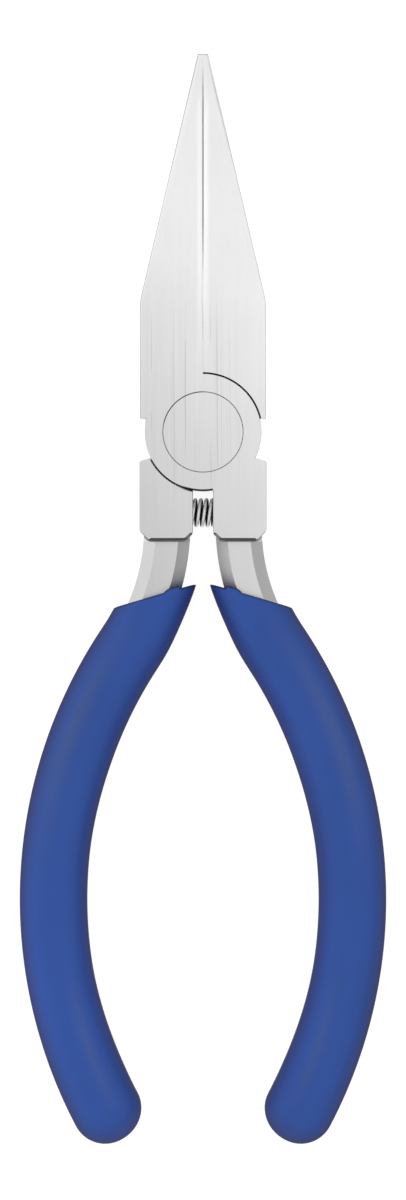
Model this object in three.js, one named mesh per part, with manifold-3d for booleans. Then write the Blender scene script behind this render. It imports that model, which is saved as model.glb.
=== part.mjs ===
// Round nose pliers for jewellery making, closed, lying flat on z = 0 with the jaws along +Y.
// Two identical forgings lap at a flush rivet, a coil spring sits between their shoulders,
// and a soft sleeve covers each tang. Millimetres, +Z up, the pivot is the Z axis.
import * as THREE from "three";
import { mergeVertices } from "three/addons/utils/BufferGeometryUtils.js";
import Module from "manifold-3d";

const wasm = await Module();
wasm.setup();

// ---------------------------------------------------------------- driving dimensions
const THICKNESS = 8.4; // joint and sleeves
const CLEARANCE = 0.3; // between pieces that slide, rest or fit
const DISC_RADIUS = 6.76; // lap disc of each forging

const JAW_TIP_Y = 43.35;
const JAW_HEEL_Y = 1.6;
const JAW_FULL_WIDTH = 7.2; // half of the pair, at the root
const JAW_TIP_WIDTH = 0.62;
const JAW_TIP_THICKNESS = 1.2;
const JAW_TAPER = 0.232; // narrowing of each outer side per millimetre
const JAW_FLAT_END_Y = 14; // the faces start to thin here
const JAW_EDGE = 0.45; // rounding of the long edges at the root
const JAW_ROUND_FROM_Y = 29; // the section turns from boxy to round
const JAW_ROUND_TO_Y = 41;

const SHOULDER_OUT = 7.3;
const SHOULDER_IN = 1.15;
const SHOULDER_TOP_Y = -3.3;
const SHOULDER_BOTTOM_Y = -12.1;
const SHOULDER_CHAMFER = 0.8;

const TANG_ROOT = { x: 4.1, y: -11.5, lean: 2 }; // lean from -Y towards the outside, degrees
const TANG_BEND = { radius: 24.5, to: 34 };
const BOW = { radius: 52, to: -27.8 }; // the long curve that fills the palm
const TANG_HALF_WIDTH = [2.65, 2.35]; // at the shoulder, at the buried end
const TANG_HALF_THICKNESS = [2.8, 2.5];
const TANG_BEVEL = 1.35;
const TANG_END_LEAN = -22;

const SLEEVE_HALF_WIDTH = 3.82;
const SLEEVE_FLARE = 0.45; // extra half width at the mouth
const SLEEVE_FLARE_LENGTH = 9;
const SLEEVE_CORNER = 2.9;
const SLEEVE_START_LEAN = 6;
const MOUTH_INNER = { x: 0.93, y: -17.37 }; // tip of the finger guard
const MOUTH_OUTER = { x: 10.36, y: -20.1 };

const RIVET_HEAD_RADIUS = 4.56;
const RIVET_HEAD_HEIGHT = 1.6;
const RIVET_SHANK_RADIUS = 2.6;

const SPRING_Y = -9.2;
const SPRING_RADIUS = 1.475; // of the wire's centre line
const SPRING_WIRE_RADIUS = 0.225;
const SPRING_PITCH = 0.65;
const SEAT_DEPTH = 3.2;

const MID_Z = THICKNESS / 2;

// ---------------------------------------------------------------- helpers
const rad = THREE.MathUtils.degToRad;
const { lerp, smoothstep } = THREE.MathUtils;

// A closed geometry as a manifold-3d solid.
function solid(geometry) {
  const flat = geometry.index ? geometry.toNonIndexed() : geometry;
  const bare = new THREE.BufferGeometry();
  bare.setAttribute("position", flat.getAttribute("position"));
  const merged = mergeVertices(bare, 1e-4);
  const vertProperties = merged.attributes.position.array;
  const triVerts = new Uint32Array(merged.index.array);
  return new wasm.Manifold(new wasm.Mesh({ numProp: 3, vertProperties, triVerts }));
}

function meshOf(name, body, material) {
  const { vertProperties, triVerts } = body.getMesh();
  const geometry = new THREE.BufferGeometry();
  geometry.setAttribute("position", new THREE.BufferAttribute(vertProperties, 3));
  geometry.setIndex(new THREE.BufferAttribute(triVerts, 1));
  geometry.computeVertexNormals();
  const mesh = new THREE.Mesh(geometry, material);
  mesh.name = name;
  return mesh;
}

// A plan outline raised from z = low to z = high.
function plate(points, low, high) {
  const shape = new THREE.Shape(points.map(([x, y]) => new THREE.Vector2(x, y)));
  const depth = high - low;
  const geometry = new THREE.ExtrudeGeometry(shape, { depth, bevelEnabled: false });
  return solid(geometry.translate(0, 0, low));
}

// An upright cylinder about the pivot.
function drum(radius, low, high, sides = 64) {
  const geometry = new THREE.CylinderGeometry(radius, radius, high - low, sides);
  return solid(geometry.rotateX(Math.PI / 2).translate(0, 0, (low + high) / 2));
}

// Rounded square of half size 1.5 with corners of radius 0.5, as a pattern for sweep().
function sectionPattern(cornerSteps) {
  const points = [];
  for (let corner = 0; corner < 4; corner++) {
    const middle = (corner + 0.5) * (Math.PI / 2);
    for (let k = 0; k <= cornerSteps; k++) {
      const turn = (corner + k / cornerSteps) * (Math.PI / 2);
      const x = Math.SQRT2 * Math.cos(middle) + 0.5 * Math.cos(turn);
      const y = Math.SQRT2 * Math.sin(middle) + 0.5 * Math.sin(turn);
      points.push(new THREE.Vector2(x, y));
    }
  }
  return new THREE.Shape(points);
}

// A bar whose rounded rectangular section follows a path in the plan, centred on mid
// thickness. station(t), for t from 0 to 1, gives the section's place x, y, its heading
// (the way the path runs), its half width, half thickness and corner radius.
function sweep(steps, cornerSteps, station) {
  const options = { depth: 1, steps, bevelEnabled: false };
  const geometry = new THREE.ExtrudeGeometry(sectionPattern(cornerSteps), options);
  const position = geometry.getAttribute("position");
  for (let i = 0; i < position.count; i++) {
    const at = station(position.getZ(i));
    const fit = (value, half) =>
      Math.sign(value) * (half - at.corner + 2 * at.corner * (Math.abs(value) - 1));
    const across = fit(position.getX(i), at.halfWidth);
    const x = at.x - at.heading.y * across;
    const y = at.y + at.heading.x * across;
    position.setXYZ(i, x, y, MID_Z + fit(position.getY(i), at.halfThickness));
  }
  return solid(geometry);
}

// The handle's centre line on the +X side: the tang bends outwards, then the bow curves
// back in. lean is the heading's angle from -Y towards the outside, in degrees.
function handlePoint(lean, bend) {
  const from = TANG_ROOT;
  const join = {
    x: from.x + TANG_BEND.radius * (Math.cos(rad(from.lean)) - Math.cos(rad(TANG_BEND.to))),
    y: from.y - TANG_BEND.radius * (Math.sin(rad(TANG_BEND.to)) - Math.sin(rad(from.lean))),
  };
  const heading = { x: Math.sin(rad(lean)), y: -Math.cos(rad(lean)) };
  if (bend === "tang") {
    const x = from.x + TANG_BEND.radius * (Math.cos(rad(from.lean)) - Math.cos(rad(lean)));
    const y = from.y - TANG_BEND.radius * (Math.sin(rad(lean)) - Math.sin(rad(from.lean)));
    return { x, y, heading };
  }
  const x = join.x + BOW.radius * (Math.cos(rad(lean)) - Math.cos(rad(TANG_BEND.to)));
  const y = join.y - BOW.radius * (Math.sin(rad(TANG_BEND.to)) - Math.sin(rad(lean)));
  return { x, y, heading };
}

// The centre line by distance: it starts on the tang bend at startLean and ends on the bow
// at endLean.
function handlePath(startLean, endLean) {
  const bendLength = TANG_BEND.radius * rad(TANG_BEND.to - startLean);
  const bowLength = BOW.radius * rad(TANG_BEND.to - endLean);
  const length = bendLength + bowLength;
  const at = (distance) =>
    distance < bendLength
      ? handlePoint(startLean + THREE.MathUtils.radToDeg(distance / TANG_BEND.radius), "tang")
      : handlePoint(
          TANG_BEND.to - THREE.MathUtils.radToDeg((distance - bendLength) / BOW.radius),
          "bow",
        );
  return { length, at };
}

// ---------------------------------------------------------------- one forging
function jawWidth(y) {
  const tapered = JAW_TIP_WIDTH + JAW_TAPER * (JAW_TIP_Y - y);
  return Math.min(JAW_FULL_WIDTH, tapered);
}

function jawThickness(y) {
  const along = Math.max(0, (y - JAW_FLAT_END_Y) / (JAW_TIP_Y - JAW_FLAT_END_Y));
  return lerp(THICKNESS, JAW_TIP_THICKNESS, along);
}

// The jaw on the -X side of the seam, from its heel beside the disc to the tip.
function jaw() {
  const steps = 16;
  return sweep(steps, 3, (t) => {
    const y = lerp(JAW_HEEL_Y, JAW_TIP_Y, t);
    const seam = CLEARANCE / 2;
    const halfWidth = (jawWidth(y) - seam) / 2;
    const halfThickness = jawThickness(y) / 2;
    const round = 0.92 * Math.min(halfWidth, halfThickness);
    const corner = lerp(
      Math.min(JAW_EDGE, round),
      round,
      smoothstep(y, JAW_ROUND_FROM_Y, JAW_ROUND_TO_Y),
    );
    const x = -(seam + halfWidth);
    return { x, y, heading: { x: 0, y: 1 }, halfWidth, halfThickness, corner };
  });
}

// The block below the disc that holds the spring, on the +X side.
function shoulder() {
  const cut = SHOULDER_CHAMFER;
  const outline = [
    [SHOULDER_IN, SHOULDER_BOTTOM_Y + cut],
    [SHOULDER_IN + cut, SHOULDER_BOTTOM_Y],
    [SHOULDER_OUT - cut, SHOULDER_BOTTOM_Y],
    [SHOULDER_OUT, SHOULDER_BOTTOM_Y + 1.3 * cut],
    [SHOULDER_OUT, SHOULDER_TOP_Y],
    [SHOULDER_OUT - 1.1, SHOULDER_TOP_Y + CLEARANCE],
    [SHOULDER_IN, SHOULDER_TOP_Y + CLEARANCE],
  ];
  return plate(outline, 0, THICKNESS);
}

// The octagonal bar inside the sleeve; grow widens it into the sleeve's cavity.
function tang(grow = 0) {
  const path = handlePath(TANG_ROOT.lean, TANG_END_LEAN);
  return sweep(24, 1, (t) => ({
    ...path.at(t * (path.length + grow)),
    halfWidth: lerp(...TANG_HALF_WIDTH, t) + grow,
    halfThickness: lerp(...TANG_HALF_THICKNESS, t) + grow,
    corner: TANG_BEVEL + grow / 2,
  }));
}

// The blind hole that seats the spring, opening at the shoulder's inner face.
function springSeat() {
  const radius = SPRING_RADIUS + SPRING_WIRE_RADIUS + CLEARANCE;
  const length = SHOULDER_IN + SEAT_DEPTH;
  const geometry = new THREE.CylinderGeometry(radius, radius, length, 24);
  return solid(geometry.rotateZ(Math.PI / 2).translate(length / 2, SPRING_Y, MID_Z));
}

function forging() {
  const lap = MID_Z + CLEARANCE / 2; // underside of this forging's disc
  const neighbour = drum(DISC_RADIUS + CLEARANCE, -1, lap);
  const counterbore = drum(
    RIVET_HEAD_RADIUS + CLEARANCE,
    THICKNESS - RIVET_HEAD_HEIGHT - CLEARANCE,
    THICKNESS + 1,
  );
  const bore = drum(RIVET_SHANK_RADIUS + CLEARANCE, -1, THICKNESS + 1, 40);
  return jaw()
    .add(shoulder())
    .subtract(neighbour)
    .add(drum(DISC_RADIUS, lap, THICKNESS))
    .add(tang())
    .subtract(springSeat())
    .subtract(counterbore)
    .subtract(bore);
}

// ---------------------------------------------------------------- rivet, spring, sleeve
// Formed in place: a shank with a flush head at each face.
function rivet() {
  const profile = [
    [0, 0],
    [RIVET_HEAD_RADIUS, 0],
    [RIVET_HEAD_RADIUS, RIVET_HEAD_HEIGHT],
    [RIVET_SHANK_RADIUS, RIVET_HEAD_HEIGHT],
    [RIVET_SHANK_RADIUS, THICKNESS - RIVET_HEAD_HEIGHT],
    [RIVET_HEAD_RADIUS, THICKNESS - RIVET_HEAD_HEIGHT],
    [RIVET_HEAD_RADIUS, THICKNESS],
    [0, THICKNESS],
  ];
  const points = profile.map(([radius, height]) => new THREE.Vector2(radius, height));
  return solid(new THREE.LatheGeometry(points, 48).rotateX(Math.PI / 2));
}

// Left-handed, about the X axis.
class Helix extends THREE.Curve {
  constructor(radius, pitch, turns) {
    super();
    Object.assign(this, { radius, pitch, turns });
  }
  getPoint(t) {
    const turn = 2 * Math.PI * this.turns * t;
    const x = this.pitch * this.turns * (t - 0.5);
    return new THREE.Vector3(x, this.radius * Math.cos(turn), -this.radius * Math.sin(turn));
  }
}

// The return spring, squeezed between the floors of the two seats.
function spring() {
  const length = 2 * (SHOULDER_IN + SEAT_DEPTH - CLEARANCE - SPRING_WIRE_RADIUS);
  const turns = length / SPRING_PITCH;
  const wire = new THREE.Shape();
  wire.absarc(0, 0, SPRING_WIRE_RADIUS, 0, 2 * Math.PI);
  const geometry = new THREE.ExtrudeGeometry(wire, {
    steps: Math.round(turns * 12),
    curveSegments: 3,
    extrudePath: new Helix(SPRING_RADIUS, SPRING_PITCH, turns),
  });
  return solid(geometry.translate(0, SPRING_Y, MID_Z));
}

// A hollow sleeve over the tang: round closed end, and a mouth cut on the slant whose
// inner corner stands up as a finger guard.
function sleeve() {
  const path = handlePath(SLEEVE_START_LEAN, BOW.to);
  const domeShare = 0.2; // of the sweep's steps
  const domeTurn = rad(84);
  const skin = sweep(40, 4, (t) => {
    const dome = Math.max(0, (t - 1 + domeShare) / domeShare) * domeTurn;
    const straight = Math.min(1, t / (1 - domeShare)) * path.length;
    const at = path.at(straight);
    const past = SLEEVE_HALF_WIDTH * Math.sin(dome);
    const flare = SLEEVE_FLARE * (1 - smoothstep(straight, 0, SLEEVE_FLARE_LENGTH));
    return {
      x: at.x + at.heading.x * past,
      y: at.y + at.heading.y * past,
      heading: at.heading,
      halfWidth: (SLEEVE_HALF_WIDTH + flare) * Math.cos(dome),
      halfThickness: MID_Z * Math.cos(dome),
      corner: SLEEVE_CORNER * Math.cos(dome),
    };
  });
  const run = MOUTH_OUTER.x - MOUTH_INNER.x;
  const rise = MOUTH_OUTER.y - MOUTH_INNER.y;
  const size = 2 * run;
  const waste = new THREE.BoxGeometry(size, size, size).translate(0, size / 2, 0);
  waste.rotateZ(Math.atan2(rise, run)).translate(MOUTH_INNER.x, MOUTH_INNER.y, MID_Z);
  return skin.subtract(solid(waste)).subtract(tang(CLEARANCE));
}

// ---------------------------------------------------------------- assembly
const jawSteel = new THREE.MeshStandardMaterial({
  color: 0xd9dadb,
  metalness: 0.9,
  roughness: 0.35,
});
const rivetSteel = new THREE.MeshStandardMaterial({
  color: 0xdcdddd,
  metalness: 0.9,
  roughness: 0.3,
});
const springSteel = new THREE.MeshStandardMaterial({
  color: 0xc8c9ca,
  metalness: 0.95,
  roughness: 0.25,
});
const bluePlastic = new THREE.MeshStandardMaterial({
  color: 0x38549a,
  metalness: 0,
  roughness: 0.45,
});

// Turns a piece half a turn about the Y axis at mid thickness: the second forging and its
// sleeve are the first ones turned over.
function turnedOver(mesh) {
  mesh.rotation.y = Math.PI;
  mesh.position.z = THICKNESS;
  return mesh;
}

const half = forging();
const grip = sleeve();

const pliers = new THREE.Group();
pliers.name = "round_nose_pliers";
pliers.add(
  meshOf("front_half", half, jawSteel),
  turnedOver(meshOf("back_half", half, jawSteel)),
  meshOf("pivot_rivet", rivet(), rivetSteel),
  meshOf("return_spring", spring(), springSteel),
  meshOf("right_grip", grip, bluePlastic),
  turnedOver(meshOf("left_grip", grip, bluePlastic)),
);

export default pliers;
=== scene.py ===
"""Looks of the round nose pliers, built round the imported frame.

Every visible piece is made here in mesh code, in millimetres, and scaled to metres last.
+Y runs to the jaw tips, +Z is the pivot axis and up, and the pliers lie on z = 0.
"""

import math

import bmesh
import bpy
import numpy as np
from mathutils import Matrix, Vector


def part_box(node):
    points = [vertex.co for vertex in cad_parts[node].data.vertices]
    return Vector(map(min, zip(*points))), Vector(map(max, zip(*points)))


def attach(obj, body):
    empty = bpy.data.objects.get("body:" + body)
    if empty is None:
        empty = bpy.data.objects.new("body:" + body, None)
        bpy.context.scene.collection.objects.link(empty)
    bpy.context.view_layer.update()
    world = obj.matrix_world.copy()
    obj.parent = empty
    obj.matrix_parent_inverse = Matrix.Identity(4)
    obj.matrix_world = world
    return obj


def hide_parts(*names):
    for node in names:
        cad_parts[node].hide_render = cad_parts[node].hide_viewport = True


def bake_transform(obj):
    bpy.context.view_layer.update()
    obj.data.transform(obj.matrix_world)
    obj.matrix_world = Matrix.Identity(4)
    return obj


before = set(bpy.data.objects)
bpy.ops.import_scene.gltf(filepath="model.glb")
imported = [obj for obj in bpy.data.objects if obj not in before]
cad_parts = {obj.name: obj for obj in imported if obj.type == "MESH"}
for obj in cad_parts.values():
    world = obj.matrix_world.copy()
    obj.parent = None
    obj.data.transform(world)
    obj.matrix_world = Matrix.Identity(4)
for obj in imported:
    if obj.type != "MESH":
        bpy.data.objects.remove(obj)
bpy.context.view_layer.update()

MM = 0.001


def box_mm(node):
    low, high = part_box(node)
    return np.array(low) / MM, np.array(high) / MM


# ---------------------------------------------------------------- sizes from the frame
FORGING_LOW, FORGING_HIGH = box_mm("front_half")
RIVET_HIGH = box_mm("pivot_rivet")[1]
SPRING_LOW, SPRING_HIGH = box_mm("return_spring")

THICKNESS = RIVET_HIGH[2]
MID_Z = THICKNESS / 2
JAW_TIP_Y = FORGING_HIGH[1]
JAW_FULL_WIDTH = -FORGING_LOW[0]
RIVET_RADIUS = RIVET_HIGH[0]
SPRING_Y = (SPRING_LOW[1] + SPRING_HIGH[1]) / 2
SPRING_OUTER = (SPRING_HIGH[1] - SPRING_LOW[1]) / 2
SPRING_END_X = SPRING_HIGH[0]

# ---------------------------------------------------------------- sizes shared with part.mjs
DISC_RADIUS = 6.76
JAW_HEEL_Y = 1.6
JAW_TIP_WIDTH = 0.62
JAW_TIP_THICKNESS = 1.2
JAW_TAPER = 0.232
JAW_FLAT_END_Y = 14.0
SHOULDER_OUT = 7.3
SHOULDER_IN = 1.15
SHOULDER_TOP_Y = -3.3
SHOULDER_CHAMFER = 0.8
TANG_ROOT = (4.1, -11.5, 2.0)  # x, y, lean from -Y towards the outside in degrees
TANG_BEND_RADIUS = 24.5
TANG_BEND_LEAN = 34.0
BOW_RADIUS = 52.0
BOW_END_LEAN = -27.8
TANG_HALF_WIDTH = (2.65, 2.35)  # at the shoulder, at the buried end
TANG_HALF_THICKNESS = (2.8, 2.5)
TANG_BEVEL = 1.35
TANG_END_LEAN = -22.0
SLEEVE_HALF_WIDTH = 3.82
SLEEVE_FLARE = 0.45
SLEEVE_FLARE_LENGTH = 9.0
SLEEVE_CORNER = 2.9
SLEEVE_START_LEAN = 6.0
MOUTH_INNER = np.array([0.93, -17.37])
MOUTH_OUTER = np.array([10.36, -20.1])
RIVET_SHANK_RADIUS = 2.6
RIVET_HEAD_HEIGHT = 1.6
SEAT_DEPTH = 3.2

# ---------------------------------------------------------------- finer shape of the real tool
JAW_NOSE = 0.1  # rounding of the very tip
JAW_BEND_END_Y = 18.0  # the faces are fully thinning from here
JAW_ROUNDS = (27.0, 41.0)  # the section turns from boxy to round between these
JAW_WIDTH_BLEND = 0.9  # where the outer side starts to narrow
JAW_THICKNESS_BLEND = 1.5
OUTER_EDGE_ACROSS = (0.45, 1.15)  # rounding of a jaw's outer edges, at the root and the tip
OUTER_EDGE_DOWN = (0.2, 0.5)
BEVEL_GROWS = (9.0, 19.0)  # the bevel beside the meeting line grows between these
INNER_BEVEL_ACROSS = (0.04, 0.45)
INNER_BEVEL_SLOPE = (0.7, 0.42)
BEVEL_FLATNESS = 0.8
LARGEST_OUTER_EDGE = (0.85, 0.8)  # shares of the half section, across and down
LARGEST_BEVEL = 0.75
SEAM_OPENS = (15.0, 25.0)
SEAM_CLOSES = (37.0, 43.4)
SEAM_HALF_GAP = 0.062  # widest groove beside the closed jaws' meeting line
SEAM_HALF_CONTACT = 0.006  # at the meeting line, the tips and the root

LAP_INNER = DISC_RADIUS - 0.07  # the dark arc between a disc and its neighbour
LAP_OUTER = DISC_RADIUS + 0.03
LAP_LIFT = 0.04  # half the daylight between the two laps, at mid thickness
SLOT_ARC = (-1.7, -1.2, 2.0, 3.0)  # over the slot a disc grows to its full radius, and back
LAP_LIP = 0.05  # broken edge of the cut round a neighbour's disc
DISC_LIP = 0.06  # and of the disc's own rim

HEAD_GROOVE = 0.055  # hairline round the flush rivet head
HEAD_LIP = 0.04  # broken edges of the rivet head and its counterbore
HEAD_FLOOR_GAP = 0.05
BORE_GAP = 0.03

SHOULDER_BOTTOM_Y = -12.4  # the CAD's solid ends 0.3 higher
SHOULDER_OUTER_CUT = 1.4 * SHOULDER_CHAMFER
SHOULDER_EDGE = 0.16  # broken edges of the shoulders
END_CHAMFER = 0.3  # of a shoulder's end, above the tang
UNDERCUT = 0.14  # slot between a shoulder and its tang
UNDERCUT_DEPTH = 1.5
TANG_EDGE = 0.12

WIRE_RADIUS = 0.215
COIL_TURNS = 12.5
COIL_LEAN = 0.1  # how far the turns lean along the coil, at their edges
COIL_LEAN_GROWS = (0.5, 2.5)  # turns from the end
COIL_PHASE = 0.27  # where the first turn starts, in turns
CLOSED_PITCH = 2 * WIRE_RADIUS * 1.05
SEAT_GAP = 0.2
SEAT_LEAD_IN = 0.12

SLEEVE_FIT = 0.06  # between the tang and the cavity's wall
LIP_HEIGHT = 0.16  # of the rounded rim at a sleeve's mouth
MOUTH_STEP = 0.36  # the mouth stands this much higher over the tang's inner bevel
MOUTH_STEP_TURN = (106.0, 109.0, 122.0, 125.0)  # where round the section, in degrees

# ---------------------------------------------------------------- fineness of the meshes
WELD = 0.004  # points nearer than this become one
PAST = 1.0  # how far a cutter reaches past what it cuts
JAW_CORNER_STEPS = 8
SHOULDER_CORNER_STEPS = 4
DISC_SIDES = 240
BORE_SIDES = 96
SEAT_SIDES = 64
TANG_RINGS = 90
WIRE_SIDES = 12
WIRE_RINGS_PER_TURN = 32
SLEEVE_CORNER_STEPS = 20
SLEEVE_SIDE_POINTS = 11
CAVITY_RINGS = 40
SKIN_RINGS = 120
DOME_RINGS = 15
LIP_STEPS = 6


# ---------------------------------------------------------------- helpers: numbers
def lerp(a, b, t):
    return a + (b - a) * t


def smoothstep(value, low, high):
    t = min(1.0, max(0.0, (value - low) / (high - low)))
    return t * t * (3 - 2 * t)


def bump_over(value, rise_from, rise_to, fall_from, fall_to):
    """0 outside, 1 between rise_to and fall_from, and smooth between."""
    return smoothstep(value, rise_from, rise_to) * (1 - smoothstep(value, fall_from, fall_to))


def soft_ramp(value, start, blend):
    """0 before start and value - start after it, rounded over start +- blend."""
    past = value - start
    if past <= -blend:
        return 0.0
    if past >= blend:
        return past
    return (past + blend) ** 2 / (4 * blend)


# ---------------------------------------------------------------- helpers: outlines
def rounded_rect(half_u, half_v, corners, steps, side_points=0, flats=(0, 0, 0, 0)):
    """Corner arcs at (+,+), (-,+), (-,-) and (+,-), anticlockwise.

    A corner is a radius, or a pair (along u, along v) for an elliptical one, and flats says
    how far each is flattened towards its chord. The top and bottom sides may have points.
    """
    signs = ((1, 1), (-1, 1), (-1, -1), (1, -1))
    points = []
    for corner, ((su, sv), radius) in enumerate(zip(signs, corners)):
        ru, rv = radius if np.ndim(radius) else (radius, radius)
        for k in range(steps + 1):
            turn = (corner + k / steps) * math.pi / 2
            arc = (abs(math.cos(turn)), abs(math.sin(turn)))
            chord = (arc[0] / sum(arc), arc[1] / sum(arc))
            u = su * (half_u - ru + ru * lerp(arc[0], chord[0], flats[corner]))
            v = sv * (half_v - rv + rv * lerp(arc[1], chord[1], flats[corner]))
            points.append((u, v))
        if corner in (0, 2):
            start, v = points[-1]
            next_radius = corners[corner + 1]
            end = -su * (half_u - (next_radius[0] if np.ndim(next_radius) else next_radius))
            for k in range(1, side_points + 1):
                points.append((lerp(start, end, k / (side_points + 1)), v))
    return np.array(points)


def round_corners(corners, steps):
    """Replaces each corner (x, y, radius) of a polygon by an arc."""
    longest_reach = 0.48  # of a side, so that two arcs never meet
    outline = np.array([corner[:2] for corner in corners], float)
    points = []
    for i, here in enumerate(outline):
        before = outline[i - 1] - here
        after = outline[(i + 1) % len(outline)] - here
        a = before / np.linalg.norm(before)
        b = after / np.linalg.norm(after)
        half = math.acos(np.clip(a @ b, -1, 1)) / 2
        reach = min(corners[i][2] / math.tan(half), longest_reach * np.linalg.norm(before))
        reach = min(reach, longest_reach * np.linalg.norm(after))
        for k in range(steps + 1):
            t = k / steps
            start, end = here + a * reach, here + b * reach
            points.append(lerp(lerp(start, here, t), lerp(here, end, t), t))
    return np.array(points)


def inset(outline, amount):
    """A closed anticlockwise outline moved inwards, by one amount or one for each corner."""
    before = outline - np.roll(outline, 1, axis=0)
    after = np.roll(outline, -1, axis=0) - outline

    def inward(edge):
        length = np.linalg.norm(edge, axis=1, keepdims=True)
        return np.stack([-edge[:, 1], edge[:, 0]], axis=1) / length

    n0, n1 = inward(before), inward(after)
    bisector = n0 + n1
    scale = 2 / np.sum(bisector * bisector, axis=1, keepdims=True)
    return outline + bisector * scale * amount


# ---------------------------------------------------------------- helpers: meshes
def mesh_object(name, vertices, faces):
    mesh = bpy.data.meshes.new(name)
    mesh.from_pydata([tuple(v) for v in vertices], [], faces)
    mesh.update()
    obj = bpy.data.objects.new(name, mesh)
    bpy.context.scene.collection.objects.link(obj)
    return obj


def tag_points(obj, name, values):
    """Stores one number for each vertex, for a material to read."""
    attribute = obj.data.attributes.new(name, "FLOAT", "POINT")
    attribute.data.foreach_set("value", np.asarray(values, np.float32))


def loft(name, rings):
    """A skin over rings of equal length, with its ends capped."""
    rings = np.asarray(rings, float)
    count, size = rings.shape[:2]
    faces = []
    for r in range(count - 1):
        a, b = r * size, (r + 1) * size
        for i in range(size):
            j = (i + 1) % size
            faces.append((a + i, a + j, b + j, b + i))
    faces.append(tuple(reversed(range(size))))
    faces.append(tuple((count - 1) * size + i for i in range(size)))
    return mesh_object(name, rings.reshape(-1, 3), faces)


def prism(name, outline, low, high):
    return loft(name, [[(x, y, z) for x, y in outline] for z in (low, high)])


def turned(name, profile, sides):
    """A profile of (radius, height) turned about the pivot axis; it starts and ends on it."""
    vertices = [(0, 0, profile[0][1])]
    for radius, height in profile[1:-1]:
        for k in range(sides):
            turn = 2 * math.pi * k / sides
            vertices.append((radius * math.cos(turn), radius * math.sin(turn), height))
    vertices.append((0, 0, profile[-1][1]))
    last = len(vertices) - 1
    faces = []
    for k in range(sides):
        n = (k + 1) % sides
        faces.append((0, 1 + n, 1 + k))
        faces.append((last, last - sides + k, last - sides + n))
        for row in range(len(profile) - 3):
            a, b = 1 + row * sides, 1 + (row + 1) * sides
            faces.append((a + k, a + n, b + n, b + k))
    return mesh_object(name, vertices, faces)


def combine(target, other, operation):
    """Joins other to target, or cuts it away, and deletes other."""
    modifier = target.modifiers.new("cut", "BOOLEAN")
    modifier.object = other
    modifier.operation = operation
    modifier.solver = "MANIFOLD"
    modifier.material_mode = "TRANSFER"
    apply_modifiers(target)
    bpy.data.objects.remove(other)


def apply_modifiers(obj):
    depsgraph = bpy.context.evaluated_depsgraph_get()
    result = bpy.data.meshes.new_from_object(obj.evaluated_get(depsgraph))
    obj.modifiers.clear()
    old = obj.data
    obj.data = result
    bpy.data.meshes.remove(old)


def finish_mesh(obj, name, sharp_degrees):
    """Scales the mesh to metres and shades it smooth up to the given angle.

    The normals are weighted by area, so flat faces stay flat beside their rounded rims.
    """
    mesh = bmesh.new()
    mesh.from_mesh(obj.data)
    bmesh.ops.remove_doubles(mesh, verts=mesh.verts, dist=WELD)
    bmesh.ops.dissolve_degenerate(mesh, edges=mesh.edges, dist=WELD)
    mesh.to_mesh(obj.data)
    mesh.free()
    obj.data.transform(Matrix.Scale(MM, 4))
    obj.data.shade_smooth()
    obj.data.set_sharp_from_angle(angle=math.radians(sharp_degrees))
    modifier = obj.modifiers.new("weighted", "WEIGHTED_NORMAL")
    modifier.keep_sharp = True
    modifier.weight = 100
    apply_modifiers(obj)
    obj.name = name
    obj.data.name = name
    return obj


def turned_over(obj, name):
    """A copy turned half a turn about the long axis, at mid thickness."""
    copy = obj.copy()
    copy.data = obj.data.copy()
    copy.name = name
    copy.data.name = name
    flip = Matrix.Translation((0, 0, THICKNESS * MM)) @ Matrix.Rotation(math.pi, 4, "Y")
    copy.data.transform(flip)
    bpy.context.scene.collection.objects.link(copy)
    return copy


# ---------------------------------------------------------------- the handle's centre line
def handle_point(distance, start_lean):
    """Place and heading on the +X side, at a distance from where the lean is start_lean."""
    x0, y0, root_lean = TANG_ROOT
    root, bend = math.radians(root_lean), math.radians(TANG_BEND_LEAN)
    start = math.radians(start_lean)
    bend_length = TANG_BEND_RADIUS * (bend - start)
    if distance < bend_length:
        lean = start + distance / TANG_BEND_RADIUS
        x = x0 + TANG_BEND_RADIUS * (math.cos(root) - math.cos(lean))
        y = y0 - TANG_BEND_RADIUS * (math.sin(lean) - math.sin(root))
    else:
        lean = bend - (distance - bend_length) / BOW_RADIUS
        x = x0 + TANG_BEND_RADIUS * (math.cos(root) - math.cos(bend))
        y = y0 - TANG_BEND_RADIUS * (math.sin(bend) - math.sin(root))
        x += BOW_RADIUS * (math.cos(lean) - math.cos(bend))
        y -= BOW_RADIUS * (math.sin(bend) - math.sin(lean))
    return np.array([x, y]), np.array([math.sin(lean), -math.cos(lean)])


def handle_length(start_lean, end_lean):
    bend = TANG_BEND_RADIUS * math.radians(TANG_BEND_LEAN - start_lean)
    return bend + BOW_RADIUS * math.radians(TANG_BEND_LEAN - end_lean)


def place(centre, heading, across, up):
    """A section point: across is along the heading's outer side, up is from mid thickness."""
    x = centre[0] - heading[1] * across
    y = centre[1] + heading[0] * across
    return (x, y, MID_Z + up)


# ---------------------------------------------------------------- forging
def jaw_width(y):
    full_at = JAW_TIP_Y - (JAW_FULL_WIDTH - JAW_TIP_WIDTH) / JAW_TAPER
    return JAW_FULL_WIDTH - JAW_TAPER * soft_ramp(y, full_at, JAW_WIDTH_BLEND)


def jaw_thickness(y):
    slope = (THICKNESS - JAW_TIP_THICKNESS) / (JAW_TIP_Y - JAW_FLAT_END_Y)
    return THICKNESS - slope * soft_ramp(y, JAW_FLAT_END_Y, JAW_THICKNESS_BLEND)


def seam_gap(y):
    """Half the daylight between the jaws: they touch at the tips and at the root."""
    return lerp(SEAM_HALF_CONTACT, SEAM_HALF_GAP, bump_over(y, *SEAM_OPENS, *SEAM_CLOSES))


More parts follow.
